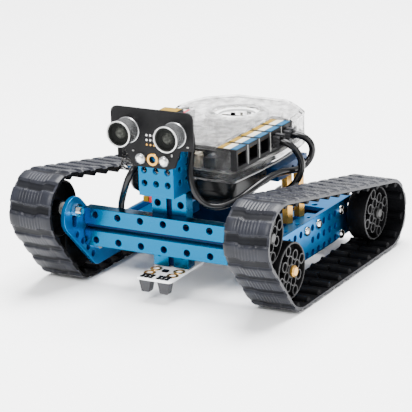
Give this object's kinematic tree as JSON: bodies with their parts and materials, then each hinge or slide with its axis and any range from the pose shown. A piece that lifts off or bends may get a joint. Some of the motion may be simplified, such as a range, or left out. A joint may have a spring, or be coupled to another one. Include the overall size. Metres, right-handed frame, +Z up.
{
  "type": "tracked robot",
  "caption": "Tracked educational robot: perforated blue metal frame on rubber crawler belts, twin-eyed distance sensor on a front mast and a clear electronics case behind it.",
  "frame": {"origin": "on the ground under the middle of the robot's bounding box", "axes": "+X to the picture's right, +Y towards the robot's rear (it drives towards -Y), +Z up"},
  "size_m": [0.1774, 0.1927, 0.1194],
  "materials": {
    "blue_aluminium": "blue anodised, satin",
    "rubber": "moulded rubber, semi-gloss",
    "wheel_plastic": "black moulded plastic",
    "steel": "bright plated steel",
    "brass": "turned brass, bright",
    "spacer_plastic": "light grey nylon",
    "clear_plastic": "clear glossy plastic",
    "black_board": "black solder-masked circuit board",
    "white_board": "white solder-masked circuit board",
    "black_plastic": "black moulded plastic",
    "cable": "black cable sheath"
  },
  "bodies": {
    "chassis": {"cross_beam": "blue_aluminium", "mast_beam": "blue_aluminium", "rear_beam": "blue_aluminium", "side_plate_left": "blue_aluminium", "side_plate_right": "blue_aluminium", "long_beam_left": "blue_aluminium", "long_beam_right": "blue_aluminium", "motor_mount_left": "blue_aluminium", "motor_mount_right": "blue_aluminium", "case_rail_left": "blue_aluminium", "case_rail_right": "blue_aluminium", "sensor_bracket": "blue_aluminium", "belt_left": "rubber", "belt_right": "rubber", "axle_upper_left": "steel", "axle_upper_right": "steel", "axle_lower_left": "steel", "axle_lower_right": "steel", "motor_left": "steel", "motor_right": "steel", "eye_left": "steel", "eye_right": "steel", "sensor_screw_left": "steel", "sensor_screw_right": "steel", "standoff_left_1": "brass", "standoff_left_2": "brass", "standoff_right_1": "brass", "standoff_right_2": "brass", "spacer_upper_left": "spacer_plastic", "spacer_upper_right": "spacer_plastic", "spacer_lower_left": "spacer_plastic", "spacer_lower_right": "spacer_plastic", "case_base": "clear_plastic", "case_cover": "clear_plastic", "circuit_board": "black_board", "sensor_board": "black_board", "light_ring": "white_board", "line_board": "white_board", "battery_box": "black_plastic", "port_row_left": "black_plastic", "port_row_right": "black_plastic", "sensor_jack": "black_plastic", "line_eye_left": "black_plastic", "line_eye_right": "black_plastic", "line_gland": "black_plastic", "line_jack": "black_plastic", "sensor_cable": "cable", "motor_cable_right": "cable", "line_cable": "cable"},
    "rear_wheel_left": {"wheel_rear_left": "wheel_plastic", "drive_shaft_left": "steel"},
    "upper_wheel_left": {"wheel_upper_left": "wheel_plastic"},
    "lower_wheel_left": {"wheel_lower_left": "wheel_plastic"},
    "rear_wheel_right": {"wheel_rear_right": "wheel_plastic", "drive_shaft_right": "steel"},
    "upper_wheel_right": {"wheel_upper_right": "wheel_plastic"},
    "lower_wheel_right": {"wheel_lower_right": "wheel_plastic"}
  },
  "joints": [
    {"name": "rear_wheel_left_spin", "type": "hinge", "parent": "chassis", "child": "rear_wheel_left", "pos_m": [-0.0716, 0.0731, 0.0233], "axis": [1, 0, 0], "continuous": true},
    {"name": "upper_wheel_left_spin", "type": "hinge", "parent": "chassis", "child": "upper_wheel_left", "pos_m": [-0.0716, -0.0731, 0.0507], "axis": [1, 0, 0], "continuous": true},
    {"name": "lower_wheel_left_spin", "type": "hinge", "parent": "chassis", "child": "lower_wheel_left", "pos_m": [-0.0739, -0.0501, 0.0233], "axis": [1, 0, 0], "continuous": true},
    {"name": "rear_wheel_right_spin", "type": "hinge", "parent": "chassis", "child": "rear_wheel_right", "pos_m": [0.0716, 0.0731, 0.0233], "axis": [1, 0, 0], "continuous": true},
    {"name": "upper_wheel_right_spin", "type": "hinge", "parent": "chassis", "child": "upper_wheel_right", "pos_m": [0.0716, -0.0731, 0.0507], "axis": [1, 0, 0], "continuous": true},
    {"name": "lower_wheel_right_spin", "type": "hinge", "parent": "chassis", "child": "lower_wheel_right", "pos_m": [0.0739, -0.0501, 0.0233], "axis": [1, 0, 0], "continuous": true}
  ],
  "couplings": [
    {"joint": "upper_wheel_left_spin", "follows": "rear_wheel_left_spin", "ratio": 1},
    {"joint": "lower_wheel_left_spin", "follows": "rear_wheel_left_spin", "ratio": 1},
    {"joint": "upper_wheel_right_spin", "follows": "rear_wheel_right_spin", "ratio": 1},
    {"joint": "lower_wheel_right_spin", "follows": "rear_wheel_right_spin", "ratio": 1}
  ]
}
